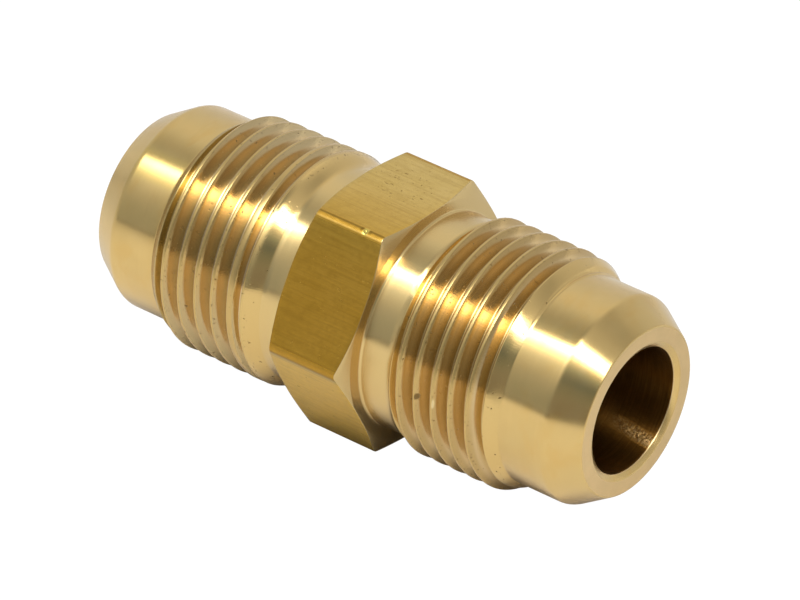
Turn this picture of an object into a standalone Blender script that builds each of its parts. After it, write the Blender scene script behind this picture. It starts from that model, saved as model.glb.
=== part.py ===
"""One-piece brass flare union, tube flare to tube flare.

A length of hexagon bar is turned down on both sides of a short wrench hexagon.
Each end carries, from the hexagon outwards: a thread relief neck, a right-hand
16 tpi unified fine thread, a plain pilot land, and the conical nose that seats
inside a flared tube.  A plain hole for the flow runs right through.

Frame: +X along the bore, origin on the bore axis midway between the two end
faces, two of the hexagon's six flats square to Z.  Angles are in degrees about
+X, from +Y towards +Z.  Lengths are millimetres; the mesh is built in metres.

The skin is a grid.  A row is a function of the angle that gives (x, radius);
the rows run along the outside from -X to +X and back through the bore, and
each is sampled at every column angle.
"""
import math
from typing import NamedTuple

import bmesh
import bpy

MM = 0.001

# ---- hexagon -------------------------------------------------------------
HEX_ACROSS_FLATS = 19.05          # 3/4 in wrench size
HEX_APOTHEM = HEX_ACROSS_FLATS / 2.0
HEX_HALF_SIDE_DEG = 30.0          # from a corner to the middle of a flat
HEX_CORNER_RADIUS = 0.60          # drawn bar has slightly rounded corners
HEX_CORNER_CENTRE_R = ((HEX_APOTHEM - HEX_CORNER_RADIUS)
                       / math.cos(math.radians(HEX_HALF_SIDE_DEG)))
SHOULDER_SLOPE = 0.18             # the side face creeps outwards towards the neck
HEX_CHAMFER_FROM_R = 9.62         # beyond this circle the corners are turned back
HEX_CHAMFER_DEG = 23.0            # by this angle from square

# ---- neck between hexagon and thread -------------------------------------
NECK_R = 8.70
# Fillet at the shoulder: (distance outwards from shoulder_x, radius)
NECK_FOOT = ((0.11, 8.97), (0.19, 8.78), (0.38, NECK_R))

# ---- pilot and nose, x outwards from the middle --------------------------
PILOT_R = 8.34
PILOT_START_X = 16.42
# Soft edge of the pilot: (x, radius)
NOSE_BLEND = ((20.20, PILOT_R), (20.44, 8.30), (20.66, 8.19))
NOSE_FACE_R = 6.83
NOSE_EDGE = 0.07                  # broken edge between nose and end face
HALF_LENGTH = 22.90

# ---- thread, 3/4-16 UNF --------------------------------------------------
THREAD_MAJOR_R = 9.46
THREAD_PITCH = 25.4 / 16.0
THREAD_DEPTH = 0.92
CREST_HALF_FLAT = 0.20 / 2.0      # half the width of the flat on top of a crest
FLANK_TAN = math.tan(math.radians(30.0))   # half angle of the groove
LEAD_IN_TOP_X = 14.87             # the lead-in cone meets the full diameter here

# ---- bore ----------------------------------------------------------------
BORE_R = 5.05
BORE_MOUTH_R = 5.50
BORE_MOUTH_DEPTH = 0.27

# ---- faceting ------------------------------------------------------------
COLUMNS = 48                      # even steps round the axis


class End(NamedTuple):
    """What differs between the two ends; only crest_x carries a sign."""
    side: float        # +1 or -1 along X
    shoulder_x: float  # side face of the hexagon, at radius HEX_CHAMFER_FROM_R
    neck_end: float    # where the neck stops
    full_from: float   # where the blank reaches full size
    runout: float      # length over which the groove runs out
    crest_x: float     # a crest lies at this x ...
    crest_deg: float   # ... at this angle


END_A = End(side=1.0, shoulder_x=3.69, neck_end=6.56, full_from=7.25, runout=1.70,
            crest_x=10.943, crest_deg=151.5)
END_B = End(side=-1.0, shoulder_x=3.52, neck_end=5.70, full_from=6.85, runout=3.00,
            crest_x=-11.382, crest_deg=171.5)


# ---- hexagon and shoulders -----------------------------------------------
def corner_span():
    """Angle from a corner's middle to where its round runs into the flat."""
    half = math.radians(HEX_HALF_SIDE_DEG)
    return math.degrees(math.atan2(
        HEX_CORNER_RADIUS * math.sin(half),
        HEX_CORNER_CENTRE_R + HEX_CORNER_RADIUS * math.cos(half)))


def hex_radius(deg):
    """Distance from the axis to the bar's surface, corners at 0, 60 ... degrees."""
    from_corner = (deg + 30.0) % 60.0 - 30.0
    if abs(from_corner) >= corner_span():
        return HEX_APOTHEM / math.cos(math.radians(HEX_HALF_SIDE_DEG - abs(from_corner)))
    angle = math.radians(from_corner)
    centre = HEX_CORNER_CENTRE_R
    return (centre * math.cos(angle)
            + math.sqrt(HEX_CORNER_RADIUS ** 2 - (centre * math.sin(angle)) ** 2))


def shoulder_place(end, radius):
    """How far out the side face of the hexagon lies at this radius."""
    if radius > HEX_CHAMFER_FROM_R:
        lean = math.tan(math.radians(HEX_CHAMFER_DEG))
        return end.shoulder_x - (radius - HEX_CHAMFER_FROM_R) * lean
    return end.shoulder_x + (HEX_CHAMFER_FROM_R - radius) * SHOULDER_SLOPE


def ring(x, radius):
    """A plain circular row."""
    return lambda deg: (x, radius)


def shoulder_rows(end):
    """From the neck up to the flats."""
    def hex_edge(deg):
        """Where the side face cuts the hexagon's flats."""
        radius = hex_radius(deg)
        return end.side * shoulder_place(end, radius), radius

    def chamfer_edge(deg):
        """Where the corner chamfer starts on the side face."""
        radius = min(hex_radius(deg), HEX_CHAMFER_FROM_R)
        return end.side * shoulder_place(end, radius), radius

    foot = [ring(end.side * (end.shoulder_x + offset), radius)
            for offset, radius in reversed(NECK_FOOT)]
    return foot + [chamfer_edge, hex_edge]


# ---- thread --------------------------------------------------------------
def cone_radius(x, start_x, end_x, start_r, end_r):
    return start_r + (end_r - start_r) * ((x - start_x) / (end_x - start_x))


def blank_radius(out, end):
    """The turned blank under the thread, at distance out from the middle."""
    if out <= end.neck_end:
        return NECK_R
    if out < end.full_from:
        return cone_radius(out, end.neck_end, end.full_from, NECK_R, THREAD_MAJOR_R)
    if out <= LEAD_IN_TOP_X:
        return THREAD_MAJOR_R
    if out >= PILOT_START_X:
        return PILOT_R
    return cone_radius(out, LEAD_IN_TOP_X, PILOT_START_X, THREAD_MAJOR_R, PILOT_R)


def smooth_step(t):
    t = min(max(t, 0.0), 1.0)
    return t * t * (3.0 - 2.0 * t)


def thread_radius(x, deg, end):
    """Surface of the threaded length at axial place x (signed) and angle deg."""
    out = x * end.side
    turns = (x - end.crest_x) / THREAD_PITCH - (deg - end.crest_deg) / 360.0
    from_crest = abs(turns - round(turns)) * THREAD_PITCH
    drop = (from_crest - CREST_HALF_FLAT) / FLANK_TAN
    drop = min(max(drop, 0.0), THREAD_DEPTH)
    drop *= smooth_step((out - end.neck_end) / end.runout)
    return max(min(blank_radius(out, end), THREAD_MAJOR_R - drop), PILOT_R)


def helix_row(end, turn, offset, start, low_x, high_x):
    """A row along the helix, held at the ends of the threaded length."""
    def row(deg):
        x = start + THREAD_PITCH * (turn + deg / 360.0) + offset
        if x <= low_x or x >= high_x:
            x = min(max(x, low_x), high_x)
            return x, blank_radius(abs(x), end)
        return x, thread_radius(x, deg, end)
    return row


def thread_rows(end):
    """Four rows a turn: both edges of the crest, then both edges of the root."""
    flank = THREAD_DEPTH * FLANK_TAN
    offsets = (-CREST_HALF_FLAT, CREST_HALF_FLAT,
               CREST_HALF_FLAT + flank, THREAD_PITCH - CREST_HALF_FLAT - flank)
    low_x, high_x = sorted((end.side * end.neck_end, end.side * PILOT_START_X))
    start = end.crest_x - THREAD_PITCH * end.crest_deg / 360.0   # a crest at 0 degrees
    # Spare turns at both ends let the helix cover the whole length at every angle.
    first = math.floor((low_x - start) / THREAD_PITCH) - 2
    last = math.ceil((high_x - start) / THREAD_PITCH) + 1
    return [helix_row(end, turn, offset, start, low_x, high_x)
            for turn in range(first, last + 1) for offset in offsets]


# ---- nose and bore -------------------------------------------------------
def nose_rows(end):
    """From the end face in to the pilot."""
    profile = ((HALF_LENGTH, NOSE_FACE_R - NOSE_EDGE),
               (HALF_LENGTH - NOSE_EDGE, NOSE_FACE_R),
               *reversed(NOSE_BLEND))
    return [ring(end.side * x, radius) for x, radius in profile]


def outer_rows():
    """All rows along the outside, from the -X end face to the +X one."""
    minus_half = nose_rows(END_B) + thread_rows(END_B) + shoulder_rows(END_B)
    plus_half = shoulder_rows(END_A)[::-1] + thread_rows(END_A) + nose_rows(END_A)[::-1]
    return minus_half + plus_half


def bore_rows():
    """Back through the bore, from +X to -X."""
    inside = HALF_LENGTH - BORE_MOUTH_DEPTH
    return [ring(HALF_LENGTH, BORE_MOUTH_R), ring(inside, BORE_R),
            ring(-inside, BORE_R), ring(-HALF_LENGTH, BORE_MOUTH_R)]


# ---- body ----------------------------------------------------------------
def column_angles():
    """Even steps, plus both ends of every corner round, closed at 360."""
    angles = [i * (360.0 / COLUMNS) for i in range(COLUMNS)]
    edge = corner_span()
    for corner in range(6):
        angles += [(corner * 60.0 - edge) % 360.0, corner * 60.0 + edge]
    return sorted(angles) + [360.0]


def union_mesh():
    rows = outer_rows() + bore_rows()
    bm = bmesh.new()
    grid = []
    for deg in column_angles():
        cos, sin = math.cos(math.radians(deg)), math.sin(math.radians(deg))
        column = []
        for row in rows:
            x, radius = row(deg)
            column.append(bm.verts.new((x * MM, radius * cos * MM, radius * sin * MM)))
        grid.append(column)
    for here, beyond in zip(grid, grid[1:]):
        for i in range(len(rows)):
            n = (i + 1) % len(rows)
            bm.faces.new((here[i], here[n], beyond[n], beyond[i]))
    # Merging closes the seam, where each helix row meets the next turn's,
    # and collapses the helix rows held at the ends of the threads.
    bmesh.ops.remove_doubles(bm, verts=bm.verts[:], dist=1e-6)
    bmesh.ops.dissolve_degenerate(bm, edges=bm.edges[:], dist=1e-7)
    bmesh.ops.triangulate(bm, faces=[f for f in bm.faces if len(f.verts) > 3],
                          quad_method="SHORT_EDGE")
    bmesh.ops.recalc_face_normals(bm, faces=bm.faces[:])
    mesh = bpy.data.meshes.new("union_body")
    bm.to_mesh(mesh)
    bm.free()
    return mesh


def machined_brass():
    material = bpy.data.materials.new("machined_brass")
    material.use_nodes = True
    inputs = material.node_tree.nodes["Principled BSDF"].inputs
    inputs["Base Color"].default_value = (0.78, 0.60, 0.32, 1.0)
    inputs["Metallic"].default_value = 1.0
    inputs["Roughness"].default_value = 0.24
    return material


def main():
    for old in list(bpy.data.objects):
        bpy.data.objects.remove(old, do_unlink=True)
    mesh = union_mesh()
    mesh.materials.append(machined_brass())
    body = bpy.data.objects.new("union_body", mesh)
    bpy.context.scene.collection.objects.link(body)
    mesh.shade_smooth()
    mesh.set_sharp_from_angle(angle=math.radians(24.0))


main()
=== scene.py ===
import math

import bmesh
import bpy
import numpy as np
from mathutils import Matrix, Vector


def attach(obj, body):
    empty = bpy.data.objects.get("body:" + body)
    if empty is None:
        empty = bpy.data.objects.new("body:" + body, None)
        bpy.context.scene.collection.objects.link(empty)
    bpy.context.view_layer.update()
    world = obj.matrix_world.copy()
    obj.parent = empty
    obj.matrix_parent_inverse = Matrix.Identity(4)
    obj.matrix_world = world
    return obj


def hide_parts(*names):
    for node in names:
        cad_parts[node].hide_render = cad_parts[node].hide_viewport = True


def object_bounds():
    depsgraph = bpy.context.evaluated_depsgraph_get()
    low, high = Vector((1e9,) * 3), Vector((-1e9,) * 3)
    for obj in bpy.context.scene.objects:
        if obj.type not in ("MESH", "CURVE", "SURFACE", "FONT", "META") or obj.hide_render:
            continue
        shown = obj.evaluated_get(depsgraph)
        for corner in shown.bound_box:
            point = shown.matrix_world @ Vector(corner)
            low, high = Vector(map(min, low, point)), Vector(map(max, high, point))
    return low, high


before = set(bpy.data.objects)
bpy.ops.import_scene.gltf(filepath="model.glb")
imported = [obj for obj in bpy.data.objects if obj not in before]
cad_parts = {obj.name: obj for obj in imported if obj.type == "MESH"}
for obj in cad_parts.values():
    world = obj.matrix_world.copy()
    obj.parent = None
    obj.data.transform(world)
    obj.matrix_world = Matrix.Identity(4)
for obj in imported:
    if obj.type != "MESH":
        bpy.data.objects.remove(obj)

cad_low, cad_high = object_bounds()
CAD_BOX = [[float(v) for v in cad_low], [float(v) for v in cad_high]]

# ==========================================================================
# Dimensions, in millimetres, in the CAD frame: +X along the bore, angles
# about +X counted from +Y towards +Z.
# ==========================================================================
MM = 0.001
AF = 19.05                       # hexagon across flats
APOTHEM = AF / 2.0
CORNER_R = 0.60                  # rounded bar corners
SHOULDER = {1.0: 3.69, -1.0: 3.52}   # where each side face meets the flats
SLOPE = 0.18                     # the side face creeps outwards towards the neck
CHAMFER_R = 9.62                 # beyond this circle the corners are turned back
LEAN = math.tan(math.radians(23.0))
NECK_R = 8.70
MAJOR_R = 9.46
PITCH = 25.4 / 16.0
DEPTH = 1.08
CREST = 0.20
TAN30 = math.tan(math.radians(30.0))
LEAD_TOP_X = 14.87
PILOT_X = 16.42
PILOT_R = 8.34
FACE_X = 22.90
FACE_R = 6.83
BORE_R = 5.05
MOUTH_R = 5.50
MOUTH_DEPTH = 0.27

# neck end, where the blank reaches full size, run-out (groove place where the
# tool is fully out, groove place where it is fully in), crest place and angle
END_A = dict(side=1.0, neck=6.62, full=7.28, out_at=6.05, in_at=6.65, x0=10.943, deg0=151.5)
END_B = dict(side=-1.0, neck=5.70, full=6.85, out_at=6.20, in_at=8.60, x0=-11.382, deg0=171.5)

COLUMNS = 270


def hex_radius(deg):
    """Bar surface distance from the axis, rounded corners at 0, 60 ... degrees."""
    off = (deg + 30.0) % 60.0 - 30.0
    flat = APOTHEM / np.cos(np.radians(30.0 - np.abs(off)))
    centre = (APOTHEM - CORNER_R) / math.cos(math.radians(30.0))
    b = np.radians(off)
    span = math.degrees(math.atan2(CORNER_R * 0.5, centre + CORNER_R * math.cos(math.radians(30.0))))
    round_ = centre * np.cos(b) + np.sqrt(np.maximum(CORNER_R ** 2 - (centre * np.sin(b)) ** 2, 0.0))
    return np.where(np.abs(off) < span, round_, flat), span


def blank(x, end):
    """Turned blank radius; x counted outwards from the hexagon."""
    xs = [0.0, end["neck"], end["full"], LEAD_TOP_X, PILOT_X, 30.0]
    rs = [NECK_R, NECK_R, MAJOR_R, MAJOR_R, PILOT_R, PILOT_R]
    return np.interp(x, xs, rs)


ROOT_ARC = 0.122                  # small round root between the flanks
FLANK_FROM = ROOT_ARC * math.cos(math.radians(30.0))
FLANK_H = ROOT_ARC * 0.5
ROOT_HALF = (PITCH - CREST) / 2.0 - DEPTH * TAN30


def groove(u, root):
    """Groove surface radius at axial distance u from the groove's middle."""
    u = np.abs(u)
    arc = ROOT_ARC - np.sqrt(np.maximum(ROOT_ARC ** 2 - np.minimum(u, FLANK_FROM) ** 2, 0.0))
    return root + np.where(u <= FLANK_FROM, arc, FLANK_H + (u - FLANK_FROM) / TAN30)


def thread_columns(end, deg):
    """For every angle, the (x, r) points along the threaded length, ordered from
    low x to high x, following each groove's edges, flanks and root exactly."""
    s = end["side"]
    lo, hi = sorted((s * end["neck"], s * PILOT_X))
    base = end["x0"] - PITCH * end["deg0"] / 360.0 + PITCH / 2.0
    k0 = math.floor((lo - base) / PITCH) - 1
    k1 = math.ceil((hi - base) / PITCH)
    out_x, out_r = [], []
    marks = []
    for k in range(k0, k1 + 1):
        xg = base + PITCH * (k + deg / 360.0)
        fade = np.clip((s * xg - end["out_at"]) / (end["in_at"] - end["out_at"]), 0.0, 1.0)
        root = MAJOR_R - DEPTH * fade * fade * (3.0 - 2.0 * fade)
        root = np.where(s * xg <= end["out_at"], MAJOR_R + 1.0, root)

        def gap(x):
            return blank(np.abs(x), end) - groove(x - xg[None, :] if x.ndim > 1 else x - xg, root)
        grid = xg[None, :] + np.linspace(-0.8, 0.8, 161)[:, None]
        inside = (grid > lo) & (grid < hi)
        g = np.where(inside, blank(np.abs(grid), end) - groove(grid - xg[None, :], root[None, :]), -9.0)
        best = grid[np.argmax(g, axis=0), np.arange(len(deg))]
        has = g.max(axis=0) > 1e-4
        edges = []
        for sign in (-1.0, 1.0):
            a, b = best.copy(), np.clip(best + sign * 0.9, lo, hi)
            for _ in range(36):
                m = 0.5 * (a + b)
                ok = gap(m) > 0.0
                a, b = np.where(ok, m, a), np.where(ok, b, m)
            edges.append(np.where(has, 0.5 * (a + b), np.clip(best, lo, hi)))
        xl, xr = edges
        width = xr - xl
        t = np.minimum(0.055, 0.22 * width)             # edge rounding, tangent length
        t = np.where(has, t, 0.0)
        cols = []

        def on_blank(x):
            return x, blank(np.abs(x), end)

        def on_groove(x):
            return x, groove(x - xg, root)
        # left edge: blank tangent, arc middle, flank tangent
        x1, r1 = on_blank(xl - t)
        x3, r3 = on_groove(xl + t * 0.5)
        rc = blank(np.abs(xl), end)
        x2, r2 = xl + t * 0.02, rc - t * 0.27
        cols += [(x1, r1), (x2, r2), (x3, r3)]
        xf = np.clip(xg - FLANK_FROM, xl + t * 0.5, xr - t * 0.5)
        cols.append(on_groove(0.5 * (x3 + xf)))
        for w in (-1.0, -0.55, 0.0, 0.55, 1.0):
            cols.append(on_groove(np.clip(xg + w * FLANK_FROM, xl + t * 0.5, xr - t * 0.5)))
        xe = np.clip(xg + FLANK_FROM, xl + t * 0.5, xr - t * 0.5)
        x5, r5 = on_groove(xr - t * 0.5)
        cols.append(on_groove(0.5 * (x5 + xe)))
        cols.append((x5, r5))
        rc = blank(np.abs(xr), end)
        cols.append((xr - t * 0.02, rc - t * 0.27))
        cols.append(on_blank(xr + t))
        fixed = []
        for x, r in cols:
            r = np.where(has, r, blank(np.abs(x), end))
            fixed.append((x, r))
        out_x.append(np.array([c[0] for c in fixed]))
        out_r.append(np.array([c[1] for c in fixed]))
        marks.append((xl, xr))
    xs = np.concatenate(out_x)
    rs = np.concatenate(out_r)
    # a middle point on each land between two grooves
    n = 13
    rows_x, rows_r = [], []
    for i in range(len(out_x)):
        rows_x.append(xs[i * n:(i + 1) * n])
        rows_r.append(rs[i * n:(i + 1) * n])
        if i + 1 < len(out_x):
            mid = 0.5 * (xs[(i + 1) * n - 1] + xs[(i + 1) * n])
            rows_x.append(mid[None, :])
            rows_r.append(blank(np.abs(mid), end)[None, :])
    xs, rs = np.concatenate(rows_x), np.concatenate(rows_r)
    xs = np.clip(xs, lo, hi)
    # keep the order and pin what falls on the two ends to the blank
    xs = np.maximum.accumulate(xs, axis=0)
    rs = np.where((xs <= lo) | (xs >= hi), blank(np.abs(xs), end), rs)
    return xs, rs


def arc_points(p0, corner, p1, steps):
    """Round a corner: quadratic through the tangent points p0 and p1."""
    pts = []
    for i in range(steps + 1):
        t = i / steps
        a = (1 - t) ** 2
        b = 2 * t * (1 - t)
        c = t * t
        pts.append((a * p0[0] + b * corner[0] + c * p1[0], a * p0[1] + b * corner[1] + c * p1[1]))
    return pts


def nose_profile():
    """(x, r) from the pilot's inner edge outwards to the bore mouth."""
    slope = math.tan(math.radians(32.0))
    tip = (FACE_X, FACE_R)
    # the nose line meets the pilot here
    meet = FACE_X - 0.05 - (PILOT_R - FACE_R) / slope
    line = lambda x: PILOT_R - (x - meet) * slope
    pts = [(PILOT_X + 0.10, PILOT_R), (17.4, PILOT_R), (18.8, PILOT_R)]
    pts += arc_points((meet - 0.26, PILOT_R), (meet, PILOT_R), (meet + 0.24, line(meet + 0.24)), 6)
    pts += [(meet + 0.7, line(meet + 0.7)), (meet + 1.35, line(meet + 1.35))]
    edge_r = line(FACE_X)
    pts += arc_points((FACE_X - 0.10, line(FACE_X - 0.10)), (FACE_X, edge_r), (FACE_X, edge_r - 0.11), 4)
    pts += [(FACE_X, 6.35), (FACE_X, 5.85)]
    pts += arc_points((FACE_X, MOUTH_R + 0.05), (FACE_X, MOUTH_R), (FACE_X - 0.03, MOUTH_R - 0.05), 2)
    pts += arc_points((FACE_X - MOUTH_DEPTH + 0.03, BORE_R + 0.05), (FACE_X - MOUTH_DEPTH, BORE_R),
                      (FACE_X - MOUTH_DEPTH - 0.05, BORE_R), 2)
    return pts


def shoulder_x(side, r):
    """The side face of the hexagon at distance r from the axis."""
    return (SHOULDER[side] - np.maximum(r - CHAMFER_R, 0.0) * LEAN
            + np.maximum(CHAMFER_R - r, 0.0) * SLOPE)


def side_profile(side):
    """(x, r) from the neck in to the side face, going up."""
    x0 = SHOULDER[side]
    foot = arc_points((x0 + 0.38, NECK_R), (x0 + 0.13, NECK_R), (x0 + 0.11, 8.97), 6)
    return foot + [(float(shoulder_x(side, 9.25)), 9.25)]


NICK_X = 1.50
NICK_DEG = 119.7


def hex_rows(deg):
    """Rows over the hexagon, from its -X leaning face to its +X one."""
    rho, _ = hex_radius(deg)
    b = 0.022

    def side_rows(side):
        top = rho - b * math.cos(math.atan(LEAN))
        out = []
        for r in (9.50, CHAMFER_R - 0.03, CHAMFER_R, CHAMFER_R + 0.03):
            r = np.minimum(r, top)
            out.append((shoulder_x(side, r), r))
        r = np.minimum(CHAMFER_R + 0.03, top)
        r = r + (top - r) * 0.5
        out.append((shoulder_x(side, r), r))
        out.append((shoulder_x(side, top), top))
        edge = shoulder_x(side, rho)
        out.append((edge - 0.003, rho - 0.004))
        out.append((edge - b, rho))
        out.append((edge - 0.45, rho))
        return out
    rows = [(-x, r) for x, r in side_rows(-1.0)]
    on_flat = {7, 8}
    for x in (-1.3, -0.1, 0.9, 1.20, 1.35, 1.43, 1.50, 1.57, 1.65, 1.80, 2.15):
        # one small nick on the corner between the top and the front flat
        knock = np.exp(-((x - NICK_X) / 0.13) ** 2 - ((deg - NICK_DEG) / 0.75) ** 2)
        on_flat.add(len(rows))
        rows.append((x, rho - 0.085 * knock))
    on_flat |= {len(rows), len(rows) + 1}
    rows += list(reversed(side_rows(1.0)))
    return rows, on_flat


def build_grid():
    _, span = hex_radius(np.array([0.0]))
    step = 360.0 / COLUMNS
    deg = list(np.arange(COLUMNS) * step)
    keep = [d for d in deg if abs((d + 30.0) % 60.0 - 30.0) > span * 1.15]
    extra = []
    for c in range(6):
        for w in (-1.0, -0.75, -0.5, -0.25, 0.0, 0.25, 0.5, 0.75, 1.0):
            extra.append((c * 60.0 + w * span) % 360.0)
    deg = np.array(sorted(keep + extra))
    deg = np.append(deg, 360.0)
    ones = np.ones_like(deg)
    xs, rs, zone = [], [], []

    def add(x, r, z):
        xs.append(x * ones if np.ndim(x) == 0 else x)
        rs.append(r * ones if np.ndim(r) == 0 else r)
        zone.append(z)

    nose = nose_profile()
    nose_zone = []
    for x, r in nose:
        if r <= BORE_R + 0.051 and x < FACE_X - 0.1:
            nose_zone.append("mouth")
        elif x >= FACE_X - 0.001:
            nose_zone.append("face")
        else:
            nose_zone.append("turned")
    for (x, r), z in zip(reversed(nose), reversed(nose_zone)):
        add(-x, r, z)
    tx, tr = thread_columns(END_B, deg)
    add(-PILOT_X, PILOT_R, "turned")
    for x, r in zip(tx, tr):
        add(x, r, "thread")
    add(-END_B["neck"], NECK_R, "turned")
    for x in (5.3, 4.8):
        add(-x, NECK_R, "turned")
    for x, r in side_profile(-1.0):
        add(-x, r, "turned")
    rows, hex_on_flat = hex_rows(deg)
    for i, (x, r) in enumerate(rows):
        add(x, r, "hex" if i in hex_on_flat else "turned")
    for x, r in reversed(side_profile(1.0)):
        add(x, r, "turned")
    for x in (4.7, 5.4, 6.1):
        add(x, NECK_R, "turned")
    add(END_A["neck"], NECK_R, "turned")
    tx, tr = thread_columns(END_A, deg)
    for x, r in zip(tx, tr):
        add(x, r, "thread")
    add(PILOT_X, PILOT_R, "turned")
    for (x, r), z in zip(nose, nose_zone):
        add(x, r, z)
    for x in np.linspace(22.3, -22.3, 13):
        add(float(x), BORE_R, "bore")
    return deg, np.array(xs), np.array(rs), zone


ZONES = ["turned", "thread", "hex", "face", "bore"]


def build_mesh():
    deg, X, Rr, zone = build_grid()
    n_rows, n_cols = X.shape
    a = np.radians(deg)
    co = np.stack([X, Rr * np.cos(a)[None, :], Rr * np.sin(a)[None, :]], axis=-1) * MM
    co = co.reshape(-1, 3)
    # merge coincident points: collapsed grooves and the seam
    key = np.round(co / 4e-7).astype(np.int64)
    _, first, inverse = np.unique(key, axis=0, return_index=True, return_inverse=True)
    inverse = inverse.reshape(-1)
    pts = co[first]
    idx = inverse.reshape(n_rows, n_cols)
    nxt = (np.arange(n_rows) + 1) % n_rows
    A = idx[:, :-1]
    B = idx[nxt][:, :-1]
    C = idx[nxt][:, 1:]
    D = idx[:, 1:]
    quads = np.stack([A, D, C, B], axis=-1)

    def zone_of(i):
        j = (i + 1) % n_rows
        a_, b_ = zone[i], zone[j]
        if a_ == "hex" and b_ == "hex":
            return "hex"
        if "bore" in (a_, b_) or (a_ == "mouth" and b_ == "mouth"):
            return "bore" if "bore" in (a_, b_) else "face"
        if "face" in (a_, b_) and "mouth" in (a_, b_):
            return "face"
        if a_ == "face" and b_ == "face":
            return "face"
        if "thread" in (a_, b_):
            return "thread"
        return "turned"
    mat_of_row = np.array([ZONES.index(zone_of(i)) for i in range(n_rows)])
    faces, mats = [], []
    q = quads.reshape(-1, 4)
    m = np.repeat(mat_of_row, n_cols - 1)
    for f, mi in zip(q.tolist(), m.tolist()):
        u = []
        for v in f:
            if v not in u:
                u.append(v)
        if len(u) >= 3:
            faces.append(u)
            mats.append(mi)
    mesh = bpy.data.meshes.new("flare_union")
    mesh.from_pydata(pts.tolist(), [], faces)
    mesh.polygons.foreach_set("material_index", mats)
    mesh.validate()
    # close the two hair-thin gaps where a groove starts exactly on the seam
    bm = bmesh.new()
    bm.from_mesh(mesh)
    bmesh.ops.holes_fill(bm, edges=[e for e in bm.edges if e.is_boundary], sides=6)
    bmesh.ops.recalc_face_normals(bm, faces=bm.faces[:])
    bm.to_mesh(mesh)
    bm.free()
    mesh.update()
    return mesh


# ==========================================================================
# Materials
# ==========================================================================
class Tree:
    """Small helper to wire shader nodes."""

    def __init__(self, tree):
        self.t = tree
        self.n = 0

    def new(self, kind, **props):
        node = self.t.nodes.new(kind)
        node.location = (200 * (self.n % 12), -220 * (self.n // 12))
        self.n += 1
        for k, v in props.items():
            setattr(node, k, v)
        return node

    def put(self, socket, value):
        if hasattr(value, "links"):
            self.t.links.new(value, socket)
        elif value is not None:
            socket.default_value = value

    def math(self, op, a, b=None, c=None, clamp=False):
        node = self.new("ShaderNodeMath", operation=op, use_clamp=clamp)
        self.put(node.inputs[0], a)
        if b is not None:
            self.put(node.inputs[1], b)
        if c is not None:
            self.put(node.inputs[2], c)
        return node.outputs[0]

    def ramp(self, value, stops, mode="LINEAR"):
        node = self.new("ShaderNodeValToRGB")
        node.color_ramp.interpolation = mode
        el = node.color_ramp.elements
        while len(el) > 1:
            el.remove(el[-1])
        for i, (p, c) in enumerate(stops):
            e = el[0] if i == 0 else el.new(p)
            e.position = p
            e.color = (c, c, c, 1.0) if not hasattr(c, "__len__") else (*c, 1.0)
        self.put(node.inputs[0], value)
        return node.outputs[0]

    def smooth(self, value, lo, hi, to_lo=0.0, to_hi=1.0):
        node = self.new("ShaderNodeMapRange", interpolation_type="SMOOTHSTEP")
        self.put(node.inputs[0], value)
        node.inputs[1].default_value, node.inputs[2].default_value = lo, hi
        node.inputs[3].default_value, node.inputs[4].default_value = to_lo, to_hi
        return node.outputs[0]

    def mix(self, fac, a, b, blend="MIX"):
        node = self.new("ShaderNodeMix", data_type="RGBA", blend_type=blend)
        self.put(node.inputs[0], fac)
        self.put(node.inputs[6], (*a, 1.0) if isinstance(a, tuple) and len(a) == 3 else a)
        self.put(node.inputs[7], (*b, 1.0) if isinstance(b, tuple) and len(b) == 3 else b)
        return node.outputs[2]

    def mixf(self, fac, a, b):
        node = self.new("ShaderNodeMix", data_type="FLOAT")
        self.put(node.inputs[0], fac)
        self.put(node.inputs[2], a)
        self.put(node.inputs[3], b)
        return node.outputs[0]

    def noise(self, vec, scale, detail=2.0, rough=0.5, dist=0.0, lac=2.0):
        node = self.new("ShaderNodeTexNoise")
        self.put(node.inputs["Vector"], vec)
        node.inputs["Scale"].default_value = scale
        node.inputs["Detail"].default_value = detail
        node.inputs["Roughness"].default_value = rough
        node.inputs["Distortion"].default_value = dist
        node.inputs["Lacunarity"].default_value = lac
        return node.outputs["Fac"]

    def vec(self, x, y, z):
        node = self.new("ShaderNodeCombineXYZ")
        for s, v in zip(node.inputs, (x, y, z)):
            self.put(s, v)
        return node.outputs[0]

    def bump(self, height, strength, distance, normal=None):
        node = self.new("ShaderNodeBump")
        node.inputs["Strength"].default_value = strength
        node.inputs["Distance"].default_value = distance
        self.put(node.inputs["Height"], height)
        if normal is not None:
            self.put(node.inputs["Normal"], normal)
        return node.outputs[0]


def cylinder_coords(t):
    """Object x, radius and angle (turns), all in millimetres or turns."""
    tc = t.new("ShaderNodeTexCoord")
    scaled = t.new("ShaderNodeVectorMath", operation="SCALE")
    t.put(scaled.inputs[0], tc.outputs["Object"])
    scaled.inputs["Scale"].default_value = 1000.0
    sep = t.new("ShaderNodeSeparateXYZ")
    t.put(sep.inputs[0], scaled.outputs[0])
    x, y, z = sep.outputs
    ang = t.math("ARCTAN2", z, y)
    rad = t.math("SQRT", t.math("ADD", t.math("MULTIPLY", y, y), t.math("MULTIPLY", z, z)))
    return scaled.outputs[0], x, y, z, ang, rad


def principled(name):
    mat = bpy.data.materials.new(name)
    mat.use_nodes = True
    tree = mat.node_tree
    bsdf = tree.nodes["Principled BSDF"]
    bsdf.inputs["Metallic"].default_value = 1.0
    return mat, Tree(tree), bsdf


BRASS = (0.69, 0.475, 0.180)


def scaled(c, k):
    return tuple(v * k for v in c)


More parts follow.
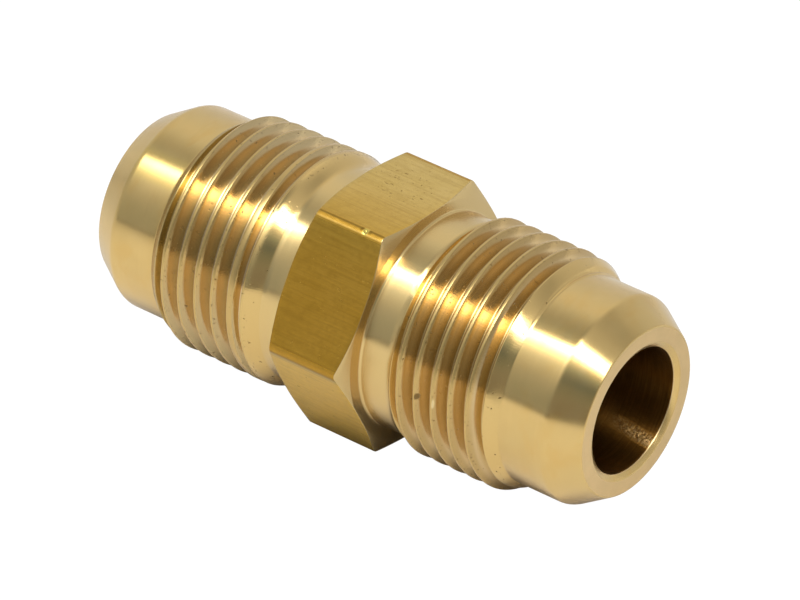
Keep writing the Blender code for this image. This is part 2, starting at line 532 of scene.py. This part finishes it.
def turned_brass(name="brass_turned", rough=0.20, aniso=0.9, tone=BRASS):
    mat, t, b = principled(name)
    p, x, y, z, ang, rad = cylinder_coords(t)
    # rings left by the turning tool: noise that varies along the axis only
    ring = t.noise(t.vec(t.math("MULTIPLY", x, 1.0), t.math("MULTIPLY", rad, 0.9), 0.0), 9.0, 4.0, 0.65)
    slow = t.noise(p, 0.35, 3.0, 0.55)
    fine = t.noise(t.vec(t.math("MULTIPLY", x, 14.0), t.math("MULTIPLY", ang, 1.2), rad), 1.0, 2.0, 0.6)
    col = t.mix(t.smooth(slow, 0.3, 0.75), scaled(tone, 0.96), (tone[0] * 1.03, tone[1] * 1.03, tone[2] * 1.05))
    col = t.mix(t.math("MULTIPLY", t.smooth(ring, 0.45, 0.72), 0.16), col, scaled(tone, 0.82))
    blush = t.noise(t.vec(t.math("MULTIPLY", x, 0.50), t.math("MULTIPLY", y, 0.30), t.math("MULTIPLY", z, 0.30)), 1.0, 4.0, 0.6, 0.6)
    col = t.mix(t.math("MULTIPLY", t.smooth(blush, 0.48, 0.66), 0.55), col, (tone[0] * 0.985, tone[1] * 0.925, tone[2] * 0.80))
    cool = t.noise(p, 0.21, 2.0, 0.5)
    col = t.mix(t.math("MULTIPLY", t.smooth(cool, 0.52, 0.68), 0.45), col, (tone[0] * 0.97, tone[1] * 1.02, tone[2] * 1.13))
    # the neck corner and the leaning side of the hexagon were cut with a form
    # tool and look paler and duller
    far = t.math("ABSOLUTE", x)
    side = t.math("MULTIPLY", t.smooth(far, 4.3, 3.8), t.smooth(rad, NECK_R + 0.02, NECK_R + 0.2))
    col = t.mix(t.math("MULTIPLY", t.smooth(far, 7.0, 6.5), 0.8), col, (0.695, 0.497, 0.210))
    col = t.mix(t.math("MULTIPLY", side, 0.9), col, (0.635, 0.462, 0.205))
    # painted highlight tint: the far pilot is painted yellower along the top, where the soft box is mirrored, so the
    # highlight there reads yellow rather than white
    painted_highlight_band = t.math("MULTIPLY", t.smooth(x, -16.2, -16.6), t.smooth(t.math("ABSOLUTE", t.math("SUBTRACT", ang, math.radians(127.0))), 0.19, 0.10))
    painted_highlight_band = t.math("MULTIPLY", painted_highlight_band, t.smooth(rad, PILOT_R - 0.12, PILOT_R - 0.04))
    col = t.mix(painted_highlight_band, col, (0.68, 0.470, 0.155))
    # a few dark pin marks
    spots = t.noise(p, 3.2, 1.0, 0.4)
    spots = t.smooth(spots, 0.80, 0.86)
    col = t.mix(t.math("MULTIPLY", spots, 0.35), col, (0.20, 0.12, 0.04))
    t.put(b.inputs["Base Color"], col)
    r = t.math("ADD", rough - 0.03, t.math("MULTIPLY", slow, 0.06))
    r = t.math("ADD", r, t.math("MULTIPLY", fine, 0.02))
    t.put(b.inputs["Roughness"], r)
    b.inputs["Anisotropic"].default_value = aniso
    b.inputs["Anisotropic Rotation"].default_value = 0.25
    tan = t.new("ShaderNodeTangent", direction_type="RADIAL", axis="X")
    t.put(b.inputs["Tangent"], tan.outputs[0])
    h = t.math("ADD", t.math("MULTIPLY", ring, 0.6), t.math("MULTIPLY", fine, 0.4))
    n = t.bump(h, 0.10, 0.00002)
    t.put(b.inputs["Normal"], n)
    return mat


# where the larger pit and the burr lie: x in mm, angle in degrees
PIT_AT = (9.648, 177.84)
BURR_AT = (11.191, 177.84)


def thread_brass():
    mat, t, b = principled("brass_thread")
    p, x, y, z, ang, rad = cylinder_coords(t)
    slow = t.noise(p, 0.5, 3.0, 0.55)
    # tool marks follow the helix
    u = t.math("SUBTRACT", x, t.math("MULTIPLY", ang, PITCH / (2 * math.pi)))
    marks = t.noise(t.vec(t.math("MULTIPLY", u, 6.0), t.math("MULTIPLY", ang, 6.0), t.math("MULTIPLY", rad, 6.0)), 1.0, 4.0, 0.6)
    chatter = t.noise(t.vec(t.math("MULTIPLY", ang, 60.0), t.math("MULTIPLY", u, 1.3), 0.0), 1.0, 2.0, 0.5)
    tone = (0.660, 0.478, 0.240)
    col = t.mix(t.smooth(slow, 0.3, 0.75), scaled(tone, 0.95), (tone[0] * 1.03, tone[1] * 1.01, tone[2] * 0.98))
    col = t.mix(t.math("MULTIPLY", t.smooth(marks, 0.42, 0.75), 0.25), col, scaled(tone, 0.78))
    # the root is browner than the flanks, more so at end A
    rootward = t.smooth(rad, MAJOR_R - 0.45, MAJOR_R - 0.95)
    brown = t.mix(t.smooth(x, -1.0, 1.0), (0.552, 0.418, 0.212), (0.500, 0.340, 0.136))
    col = t.mix(rootward, col, brown)
    # crests are worn and warmer than the flanks
    crest = t.smooth(rad, MAJOR_R - 0.42, MAJOR_R - 0.10)
    col = t.mix(crest, col, (0.60, 0.405, 0.150))
    # painted shade: the upper flanks are painted browner away from the angle facing the viewer
    geo = t.new("ShaderNodeNewGeometry")
    gn = t.new("ShaderNodeSeparateXYZ")
    t.put(gn.inputs[0], geo.outputs["Normal"])
    painted_flank_shade = t.math("MULTIPLY", t.smooth(gn.outputs[0], 0.25, 0.60), t.smooth(rad, MAJOR_R - 0.62, MAJOR_R - 0.30))
    turned = t.math("ABSOLUTE", t.math("SUBTRACT", t.math("FLOORED_MODULO", ang, 2 * math.pi), math.radians(141.5)))
    painted_flank_shade = t.math("MULTIPLY", painted_flank_shade, t.smooth(turned, math.radians(18.0), math.radians(52.0)))
    col = t.mix(t.math("MULTIPLY", painted_flank_shade, 0.85), col, brown)
    # past the ends of the thread the skin is that of the turned parts
    far = t.math("ABSOLUTE", x)
    plain = t.math("MAXIMUM", t.smooth(far, LEAD_TOP_X - 0.1, LEAD_TOP_X + 0.5), t.smooth(far, 7.2, 6.8))
    col = t.mix(plain, col, BRASS)
    # the lead-in cone of the far end is darkened
    col = t.mix(t.smooth(x, -14.90, -15.10), col, (0.70, 0.71, 0.68), "MULTIPLY")
    pits = t.smooth(t.noise(p, 3.3, 1.5, 0.5), 0.70, 0.76)
    torn = t.smooth(t.noise(p, 4.6, 1.0, 0.5), 0.64, 0.72)
    torn = t.math("MULTIPLY", torn, t.math("MULTIPLY", t.smooth(rad, MAJOR_R - 0.32, MAJOR_R - 0.16), t.smooth(gn.outputs[0], 0.1, 0.4)))
    pits = t.math("MAXIMUM", pits, t.math("MULTIPLY", torn, 0.8))
    # one larger pit and one raised burr low on the thread of end A

    def mark(x_at, deg_at, half_x, half_round):
        across = t.math("DIVIDE", t.math("SUBTRACT", x, x_at), half_x)
        along = t.math("DIVIDE", t.math("SUBTRACT", ang, math.radians(deg_at)), half_round / MAJOR_R)
        return t.smooth(t.math("ADD", t.math("MULTIPLY", across, across), t.math("MULTIPLY", along, along)), 1.0, 0.25)
    pits = t.math("MAXIMUM", pits, mark(PIT_AT[0], PIT_AT[1], 0.19, 0.33))
    col = t.mix(t.math("MULTIPLY", pits, 0.7), col, (0.13, 0.08, 0.03))
    burr = mark(BURR_AT[0], BURR_AT[1], 0.09, 0.50)
    col = t.mix(t.math("MULTIPLY", burr, 0.7), col, (0.86, 0.68, 0.36))
    t.put(b.inputs["Base Color"], col)
    r = t.math("ADD", 0.115, t.math("MULTIPLY", marks, 0.07))
    r = t.math("ADD", r, t.math("ADD", t.math("MULTIPLY", pits, 0.25), t.math("MULTIPLY", rootward, 0.08)))
    r = t.math("ADD", r, t.math("MULTIPLY", t.smooth(rad, MAJOR_R - 0.06, MAJOR_R - 0.01), 0.16))
    t.put(b.inputs["Roughness"], r)
    b.inputs["Anisotropic"].default_value = 0.6
    b.inputs["Anisotropic Rotation"].default_value = 0.25
    tan = t.new("ShaderNodeTangent", direction_type="RADIAL", axis="X")
    t.put(b.inputs["Tangent"], tan.outputs[0])
    h = t.math("ADD", t.math("MULTIPLY", marks, 0.7), t.math("MULTIPLY", chatter, 0.5))
    h = t.math("SUBTRACT", h, t.math("MULTIPLY", pits, 1.2))
    # turns the shading normal by 1.9 degrees towards the top of the part
    turn = t.new("ShaderNodeVectorRotate", rotation_type="X_AXIS")
    t.put(turn.inputs["Vector"], t.bump(h, 0.14, 0.00003))
    t.put(turn.inputs["Angle"], t.smooth(ang, math.radians(150.0), math.radians(130.0), 0.0, -0.033))
    t.put(b.inputs["Normal"], turn.outputs[0])
    return mat


def drawn_brass():
    mat, t, b = principled("brass_drawn")
    p, x, y, z, ang, rad = cylinder_coords(t)
    # long lines parallel to the axis left by the drawing die
    around = t.math("MULTIPLY", ang, 10.0)
    lines = t.noise(t.vec(t.math("MULTIPLY", x, 0.10), t.math("MULTIPLY", around, 3.4), t.math("MULTIPLY", rad, 0.2)), 1.0, 5.0, 0.62)
    fine = t.noise(t.vec(t.math("MULTIPLY", x, 0.5), t.math("MULTIPLY", around, 9.0), t.math("MULTIPLY", rad, 0.2)), 1.0, 3.0, 0.6)
    slow = t.noise(p, 0.30, 3.0, 0.6)
    mott = t.noise(p, 2.2, 4.0, 0.65)
    # the flats are browner than the turned faces; their shift from browner on the front flats to paler towards the
    # back is painted light, following how the light falls on each side
    side_light = t.math("ADD", t.math("DIVIDE", y, 12.0), 0.70)
    base = t.ramp(side_light, [(0.0, (0.64, 0.335, 0.038)), (0.12, (0.635, 0.340, 0.042)), (0.30, (0.585, 0.345, 0.052)),
                         (0.52, (0.62, 0.385, 0.080)), (0.75, (0.655, 0.435, 0.115)), (1.0, (0.665, 0.455, 0.135))])
    dark = t.mix(1.0, base, (0.74, 0.70, 0.62), "MULTIPLY")
    pale = t.mix(1.0, base, (1.16, 1.20, 1.55), "MULTIPLY")
    col = t.mix(t.math("MULTIPLY", t.smooth(slow, 0.35, 0.68), 0.30), base, pale)
    col = t.mix(t.math("MULTIPLY", t.smooth(mott, 0.46, 0.68), 0.30), col, dark)
    cloud = t.noise(t.vec(t.math("MULTIPLY", x, 0.55), t.math("MULTIPLY", y, 0.9), t.math("MULTIPLY", z, 0.9)), 1.0, 3.0, 0.6)
    col = t.mix(t.math("MULTIPLY", t.smooth(cloud, 0.50, 0.68), 0.20), col, dark)
    col = t.mix(t.math("MULTIPLY", t.smooth(lines, 0.42, 0.70), 0.52), col, dark)
    col = t.mix(t.math("MULTIPLY", t.smooth(fine, 0.52, 0.80), 0.35), col, pale)
    # painted reflection: the front flat is painted a little darker and the one below it more olive, after what each
    # flat mirrors
    low = t.math("MULTIPLY", t.smooth(z, 0.25, -0.25), t.smooth(z, -9.45, -9.20))
    low = t.math("MULTIPLY", low, t.smooth(y, 0.3, -0.3))
    front_shade = t.math("MULTIPLY", t.smooth(z, 9.30, 9.0), t.smooth(z, -0.25, 0.25))
    col = t.mix(front_shade, col, (0.90, 0.91, 0.93), "MULTIPLY")
    col = t.mix(low, col, (0.95, 1.10, 0.80), "MULTIPLY")
    # pits gather in patches, most of them on the top flat
    grain = t.noise(t.vec(t.math("MULTIPLY", x, 1.9), t.math("MULTIPLY", y, 2.9), t.math("MULTIPLY", z, 2.9)), 1.5, 1.0, 0.45)
    dx = t.math("DIVIDE", t.math("ADD", x, 0.3), 3.2)
    dy = t.math("DIVIDE", t.math("SUBTRACT", y, 1.2), 2.6)
    spot = t.smooth(t.math("ADD", t.math("MULTIPLY", dx, dx), t.math("MULTIPLY", dy, dy)), 1.6, 0.2)
    spot = t.math("MULTIPLY", spot, t.smooth(z, 9.0, 9.4))
    patch = t.smooth(t.noise(p, 0.55, 1.0, 0.5), 0.45, 0.75)
    where = t.math("ADD", t.math("MULTIPLY", patch, 0.035), t.math("MULTIPLY", spot, 0.085))
    pits = t.smooth(t.math("ADD", grain, where), 0.765, 0.815)
    col = t.mix(t.math("MULTIPLY", pits, 0.62), col, (0.20, 0.115, 0.03))
    # painted shade: the bar corners are darkened, more in some patches than others, to tone their highlight down to a
    # golden line; they are rougher as well
    turn = t.math("ABSOLUTE", t.math("SUBTRACT", t.math("FRACT", t.math("ADD", t.math("MULTIPLY", ang, 3.0 / math.pi), 0.5)), 0.5))
    corner = t.smooth(turn, 0.038, 0.026)
    corner_shade_patches = t.noise(t.vec(t.math("MULTIPLY", x, 2.2), t.math("MULTIPLY", ang, 9.0), 0.0), 1.0, 3.0, 0.6)
    col = t.mix(t.math("MULTIPLY", corner, t.smooth(corner_shade_patches, 0.25, 0.65, 0.45, 0.85)), col, (0.44, 0.240, 0.034))
    # painted highlight and reflection: a dark line and a bright one run along the corner of the top and the front
    # flat, and two dark lines and a darker band below the corner of the front flat

    def streak(deg_at, outer, inner):
        return t.smooth(t.math("ABSOLUTE", t.math("SUBTRACT", ang, math.radians(deg_at))), outer, inner)
    line = streak(118.87, 0.0090, 0.0045)
    col = t.mix(t.math("MULTIPLY", line, 0.60), col, (0.20, 0.115, 0.015))
    col = t.mix(t.math("MULTIPLY", streak(121.0, 0.0085, 0.0040), 0.55), col, (0.78, 0.50, 0.12))
    painted_shade = t.smooth(t.math("ABSOLUTE", t.math("ADD", ang, math.radians(360.0 - 181.35))), 0.014, 0.007)
    col = t.mix(t.math("MULTIPLY", painted_shade, 0.60), col, (0.36, 0.20, 0.030))
    painted_shade = t.smooth(t.math("ABSOLUTE", t.math("ADD", ang, math.radians(360.0 - 183.4))), 0.026, 0.020)
    col = t.mix(t.math("MULTIPLY", painted_shade, 0.45), col, (0.40, 0.27, 0.060))
    painted_shade = t.smooth(t.math("ABSOLUTE", t.math("ADD", ang, math.radians(360.0 - 182.35))), 0.015, 0.008)
    col = t.mix(t.math("MULTIPLY", painted_shade, 0.60), col, (0.26, 0.15, 0.030))
    # painted glint: the nick is painted bright and glossy, with two darker marks painted either side of it along the
    # axis
    nick_glint = t.math("MULTIPLY", t.smooth(t.math("ABSOLUTE", t.math("SUBTRACT", x, NICK_X)), 0.30, 0.12),
                  streak(NICK_DEG, 0.035, 0.015))
    nick_dark_marks = t.math("MULTIPLY", t.smooth(t.math("ABSOLUTE", t.math("SUBTRACT", t.math("ABSOLUTE", t.math("SUBTRACT", x, NICK_X)), 0.42)), 0.16, 0.05),
                  streak(NICK_DEG - 0.4, 0.024, 0.010))
    col = t.mix(t.math("MULTIPLY", nick_dark_marks, 0.55), col, (0.17, 0.10, 0.015))
    col = t.mix(nick_glint, col, (0.80, 0.60, 0.14))
    t.put(b.inputs["Base Color"], col)
    r = t.math("ADD", 0.18, t.math("MULTIPLY", lines, 0.11))
    r = t.math("ADD", r, t.math("MULTIPLY", corner, 0.22))
    r = t.math("ADD", r, t.math("MULTIPLY", low, 0.09))
    r = t.math("ADD", r, t.math("MULTIPLY", pits, 0.30))
    r = t.mixf(nick_glint, r, 0.16)
    t.put(b.inputs["Roughness"], r)
    b.inputs["Anisotropic"].default_value = 0.35
    b.inputs["Anisotropic Rotation"].default_value = 0.25
    t.put(b.inputs["Tangent"], t.vec(1.0, 0.0, 0.0))
    h = t.math("ADD", t.math("MULTIPLY", lines, 0.8), t.math("MULTIPLY", fine, 0.35))
    h = t.math("ADD", h, t.math("MULTIPLY", mott, 0.25))
    h = t.math("SUBTRACT", h, t.math("MULTIPLY", pits, 0.25))
    t.put(b.inputs["Normal"], t.bump(h, 0.35, 0.00005))
    return mat


def face_brass():
    mat, t, b = principled("brass_face")
    p, x, y, z, ang, rad = cylinder_coords(t)
    ring = t.noise(t.vec(t.math("MULTIPLY", rad, 7.0), 0.0, t.math("MULTIPLY", ang, 0.4)), 1.0, 4.0, 0.65)
    slow = t.noise(p, 0.6, 3.0, 0.55)
    tone = (0.70, 0.49, 0.225)
    col = t.mix(t.smooth(slow, 0.3, 0.75), scaled(tone, 0.97), scaled(tone, 1.03))
    col = t.mix(t.math("MULTIPLY", t.smooth(ring, 0.45, 0.75), 0.12), col, scaled(tone, 0.8))
    t.put(b.inputs["Base Color"], col)
    t.put(b.inputs["Roughness"], t.math("ADD", 0.26, t.math("MULTIPLY", ring, 0.06)))
    t.put(b.inputs["Normal"], t.bump(ring, 0.12, 0.00002))
    return mat


def bore_brass():
    mat, t, b = principled("brass_bore")
    p, x, y, z, ang, rad = cylinder_coords(t)
    # drilled wall: fine rings broken up by chip marks, coloured dark brown with darker patches
    rings = t.noise(t.vec(t.math("MULTIPLY", x, 7.0), t.math("MULTIPLY", ang, 1.6), 0.0), 1.0, 4.0, 0.6)
    spark = t.noise(t.vec(t.math("MULTIPLY", x, 5.0), t.math("MULTIPLY", y, 5.0), t.math("MULTIPLY", z, 5.0)), 1.0, 3.0, 0.6)
    stain = t.noise(p, 0.35, 3.0, 0.6)
    col = t.mix(t.smooth(rings, 0.35, 0.7), (0.20, 0.088, 0.014), (0.26, 0.120, 0.022))
    col = t.mix(t.math("MULTIPLY", t.smooth(stain, 0.40, 0.70), 0.35), col, (0.10, 0.042, 0.006))
    # painted glint: one short streak near the mouth is painted bright, and the chatter marks in its bump are stronger
    # there to catch the light
    deep = t.math("SUBTRACT", FACE_X, x)
    aim = t.math("ADD", -1.02, t.math("MULTIPLY", deep, 0.025))
    glint = t.math("MULTIPLY", t.smooth(t.math("ABSOLUTE", t.math("SUBTRACT", ang, aim)), 0.13, 0.01),
                   t.smooth(deep, 5.0, 0.1))
    col = t.mix(t.math("MULTIPLY", glint, t.smooth(spark, 0.42, 0.60, 0.15, 1.0)), col, (0.90, 0.55, 0.20))
    t.put(b.inputs["Base Color"], col)
    t.put(b.inputs["Roughness"], t.math("ADD", 0.27, t.math("MULTIPLY", rings, 0.12)))
    b.inputs["Anisotropic"].default_value = 0.90
    b.inputs["Anisotropic Rotation"].default_value = 0.25
    tan = t.new("ShaderNodeTangent", direction_type="RADIAL", axis="X")
    t.put(b.inputs["Tangent"], tan.outputs[0])
    rough = t.math("ADD", 0.35, t.math("MULTIPLY", glint, 2.8))
    h = t.math("ADD", t.math("MULTIPLY", rings, 0.35), t.math("MULTIPLY", spark, rough))
    t.put(b.inputs["Normal"], t.bump(h, 0.8, 0.00007))
    return mat


# ==========================================================================
# The piece
# ==========================================================================
mesh = build_mesh()
union = bpy.data.objects.new("flare_union", mesh)
bpy.context.scene.collection.objects.link(union)
mesh.use_auto_texspace = False
mesh.texspace_location = (0.0, 0.0, 0.0)
mesh.texspace_size = (0.025, 0.025, 0.025)
for m in (turned_brass(), thread_brass(), drawn_brass(), face_brass(), bore_brass()):
    mesh.materials.append(m)
mesh.shade_smooth()
wn = union.modifiers.new("even_normals", "WEIGHTED_NORMAL")
wn.mode = "FACE_AREA"
wn.weight = 90
wn.keep_sharp = True
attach(union, "root")
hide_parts("union_body")


# ==========================================================================
# Stage: pale floor, soft tent with one long soft box overhead
# ==========================================================================
def make_floor():
    size = 1.6
    m = bpy.data.meshes.new("floor")
    n = 8
    v = [((i / n - 0.5) * 2 * size, (j / n - 0.5) * 2 * size, CAD_BOX[0][2] - 0.00001)
         for j in range(n + 1) for i in range(n + 1)]
    f = [(j * (n + 1) + i, j * (n + 1) + i + 1, (j + 1) * (n + 1) + i + 1, (j + 1) * (n + 1) + i)
         for j in range(n) for i in range(n)]
    m.from_pydata(v, [], f)
    o = bpy.data.objects.new("floor", m)
    bpy.context.scene.collection.objects.link(o)
    mat = bpy.data.materials.new("pale_floor")
    mat.use_nodes = True
    t = Tree(mat.node_tree)
    b = mat.node_tree.nodes["Principled BSDF"]
    out = mat.node_tree.nodes["Material Output"]
    b.inputs["Roughness"].default_value = 0.9
    b.inputs["Specular IOR Level"].default_value = 0.0
    # painted shade: the sheet is pale to the eye, but its colour is painted darker away from the part and right under
    # it, where the light falls off; this only shows in what the metal mirrors
    tc = t.new("ShaderNodeTexCoord")
    sep = t.new("ShaderNodeSeparateXYZ")
    t.put(sep.inputs[0], tc.outputs["Object"])
    x, y, z = sep.outputs
    front_shade = t.smooth(y, -0.240, -0.232, 0.44, 1.0)
    behind = t.math("ADD", t.smooth(y, -0.002, 0.020, 1.0, 0.80), t.math("MULTIPLY", t.smooth(y, 0.05, 0.15), t.smooth(x, 0.05, 0.15, 0.0, 0.22)))
    beside = t.math("MAXIMUM", t.smooth(x, -0.090, -0.026, 0.74, 1.0), t.smooth(y, 0.0, 0.03))
    right = t.math("MAXIMUM", t.smooth(x, 0.110, 0.045, 0.48, 1.0), t.smooth(y, -0.02, 0.03))
    beside = t.math("MULTIPLY", beside, right)
    qx = t.math("DIVIDE", t.math("SUBTRACT", x, 0.003), 0.0075)
    qy = t.math("DIVIDE", t.math("ADD", y, 0.001), 0.0095)
    q = t.math("SQRT", t.math("ADD", t.math("MULTIPLY", qx, qx), t.math("MULTIPLY", qy, qy)))
    painted_shade = t.smooth(q, 0.35, 1.05, 0.52, 1.0)
    k = t.math("MULTIPLY", t.math("MULTIPLY", front_shade, behind), t.math("MULTIPLY", beside, painted_shade))
    k = t.math("MULTIPLY", k, 0.715)
    warm = t.vec(k, t.math("MULTIPLY", k, 0.98), t.math("MULTIPLY", k, 0.94))
    t.put(b.inputs["Base Color"], warm)
    glow = t.new("ShaderNodeEmission")
    glow.inputs["Color"].default_value = (1.0, 1.0, 1.0, 1.0)
    glow.inputs["Strength"].default_value = 1.08
    lp = t.new("ShaderNodeLightPath")
    mix = t.new("ShaderNodeMixShader")
    t.put(mix.inputs[0], t.math("MULTIPLY", lp.outputs["Is Camera Ray"], 0.93))
    t.put(mix.inputs[1], b.outputs[0])
    t.put(mix.inputs[2], glow.outputs[0])
    # seen from below the sheet is clear, so the underside can be looked at
    geo = t.new("ShaderNodeNewGeometry")
    clear = t.new("ShaderNodeBsdfTransparent")
    see = t.new("ShaderNodeMixShader")
    t.put(see.inputs[0], t.math("MULTIPLY", lp.outputs["Is Camera Ray"], geo.outputs["Backfacing"]))
    t.put(see.inputs[1], mix.outputs[0])
    t.put(see.inputs[2], clear.outputs[0])
    # the flat that touches the sheet mirrors a plain grey instead of black
    touch = t.new("ShaderNodeEmission")
    touch.inputs["Color"].default_value = (0.50, 0.50, 0.48, 1.0)
    near = t.math("MULTIPLY", t.math("LESS_THAN", lp.outputs["Ray Length"], 0.00006),
                  t.math("SUBTRACT", 1.0, lp.outputs["Is Camera Ray"]))
    last = t.new("ShaderNodeMixShader")
    t.put(last.inputs[0], near)
    t.put(last.inputs[1], see.outputs[0])
    t.put(last.inputs[2], touch.outputs[0])
    t.put(out.inputs["Surface"], last.outputs[0])
    m.materials.append(mat)
    return o


ROLL = 0.5                       # the hexagon lies this much round from square, degrees
SOFTBOX = 10.0
SCALE = 12.0
# studio brightness seen around the part: angle from +Y over +Z to -Y, degrees
LEFT = [(0, 0.78), (20, 0.80), (34, 0.84), (43, 0.92), (52, (0.96, 0.94, 0.90)), (62, (0.95, 0.92, 0.88)),
        (68, 0.87), (74, 0.74), (81, 0.56), (88, 0.45), (95, (0.38, 0.41, 0.44)), (107.0, (0.33, 0.37, 0.40)),
        (108.5, SOFTBOX), (114, SOFTBOX), (117, 7.0), (121, 3.7), (126, 2.2), (131, (1.40, 1.45, 1.50)),
        (136, 1.14), (141, 0.90), (146, 0.73), (151, (0.58, 0.60, 0.63)), (161, (0.44, 0.47, 0.50)),
        (172, (0.37, 0.40, 0.43)), (180, (0.35, 0.38, 0.41))]
RIGHT = [(0, 0.72), (15, 0.72), (30, 0.68), (46, 0.58), (54, 0.49), (63, 0.52), (72, 0.58), (81, 0.69),
         (91, 0.74), (98.6, 0.80), (100.2, SOFTBOX), (112, SOFTBOX), (116, 2.2), (121, (0.86, 0.84, 0.80)),
         (126, (0.56, 0.60, 0.60)), (131, (0.36, 0.42, 0.43)), (136, (0.25, 0.28, 0.31)),
         (141, (0.19, 0.23, 0.26)), (152, (0.275, 0.295, 0.29)), (162, 0.33), (172, (0.31, 0.30, 0.30)),
         (180, (0.32, 0.31, 0.31))]


def shade(v):
    return tuple(c / SCALE for c in v) if hasattr(v, "__len__") else v / SCALE


def make_world():
    w = bpy.data.worlds.new("studio")
    bpy.context.scene.world = w
    w.use_nodes = True
    t = Tree(w.node_tree)
    bg = w.node_tree.nodes["Background"]
    out = w.node_tree.nodes["World Output"]
    tc = t.new("ShaderNodeTexCoord")
    nrm = t.new("ShaderNodeVectorMath", operation="NORMALIZE")
    t.put(nrm.inputs[0], tc.outputs["Generated"])
    sep = t.new("ShaderNodeSeparateXYZ")
    t.put(sep.inputs[0], nrm.outputs[0])
    x, y, z = sep.outputs
    psi = t.math("DIVIDE", t.math("ARCTAN2", t.math("MAXIMUM", z, 0.0), y), math.pi)
    psi = t.math("ADD", psi, ROLL / 180.0)
    left = t.ramp(psi, [(p / 180.0, shade(v)) for p, v in LEFT])
    right = t.ramp(psi, [(p / 180.0, shade(v)) for p, v in RIGHT])
    side = t.smooth(x, -0.25, 0.45)
    both = t.mix(side, left, right)
    wall = t.math("MAXIMUM", t.smooth(x, -0.50, -0.57), t.smooth(x, 0.80, 0.92))
    far = t.mix(t.smooth(y, -0.1, 0.5), shade((0.58, 0.60, 0.60)), shade((0.82, 0.84, 0.84)))
    near = t.mix(t.smooth(y, -0.1, 0.5), shade((0.44,) * 3), shade((0.66,) * 3))
    walls = t.mix(t.smooth(x, -0.1, 0.1), far, near)
    val = t.mix(wall, both, walls)
    tint = t.mix(1.0, val, (0.97, 1.0, 1.05), "MULTIPLY")
    t.put(bg.inputs["Color"], tint)
    bg.inputs["Strength"].default_value = SCALE
    plain = t.new("ShaderNodeBackground")
    plain.inputs["Color"].default_value = (1.0, 1.0, 1.0, 1.0)
    plain.inputs["Strength"].default_value = 1.0
    lp = t.new("ShaderNodeLightPath")
    mix = t.new("ShaderNodeMixShader")
    t.put(mix.inputs[0], lp.outputs["Is Camera Ray"])
    t.put(mix.inputs[1], bg.outputs[0])
    t.put(mix.inputs[2], plain.outputs[0])
    t.put(out.inputs["Surface"], mix.outputs[0])


def make_camera():
    cam = bpy.data.cameras.new("camera")
    cam.sensor_fit = "HORIZONTAL"
    cam.sensor_width = 36.0
    cam.lens = 36.0 * 6852.98 / 800.0
    cam.clip_start, cam.clip_end = 0.01, 20.0
    o = bpy.data.objects.new("camera", cam)
    bpy.context.scene.collection.objects.link(o)
    right = Vector((0.79035, 0.61149, 0.03780))
    down = Vector((0.35487, -0.40664, -0.84186))
    fwd = Vector((-0.49941, 0.67877, -0.53838))
    place = Vector((27.2695, -36.9358, 29.3500)) * 9.46 * MM
    rot = Matrix((right, -down, -fwd)).transposed()
    o.matrix_world = Matrix.Rotation(math.radians(-ROLL), 4, "X") @ Matrix.Translation(place) @ rot.to_4x4()
    bpy.context.scene.camera = o
    return o


make_floor()
make_world()
make_camera()
scene = bpy.context.scene
scene.view_settings.view_transform = "Standard"
scene.view_settings.look = "None"
scene.view_settings.exposure = 0.0
scene.view_settings.gamma = 1.0
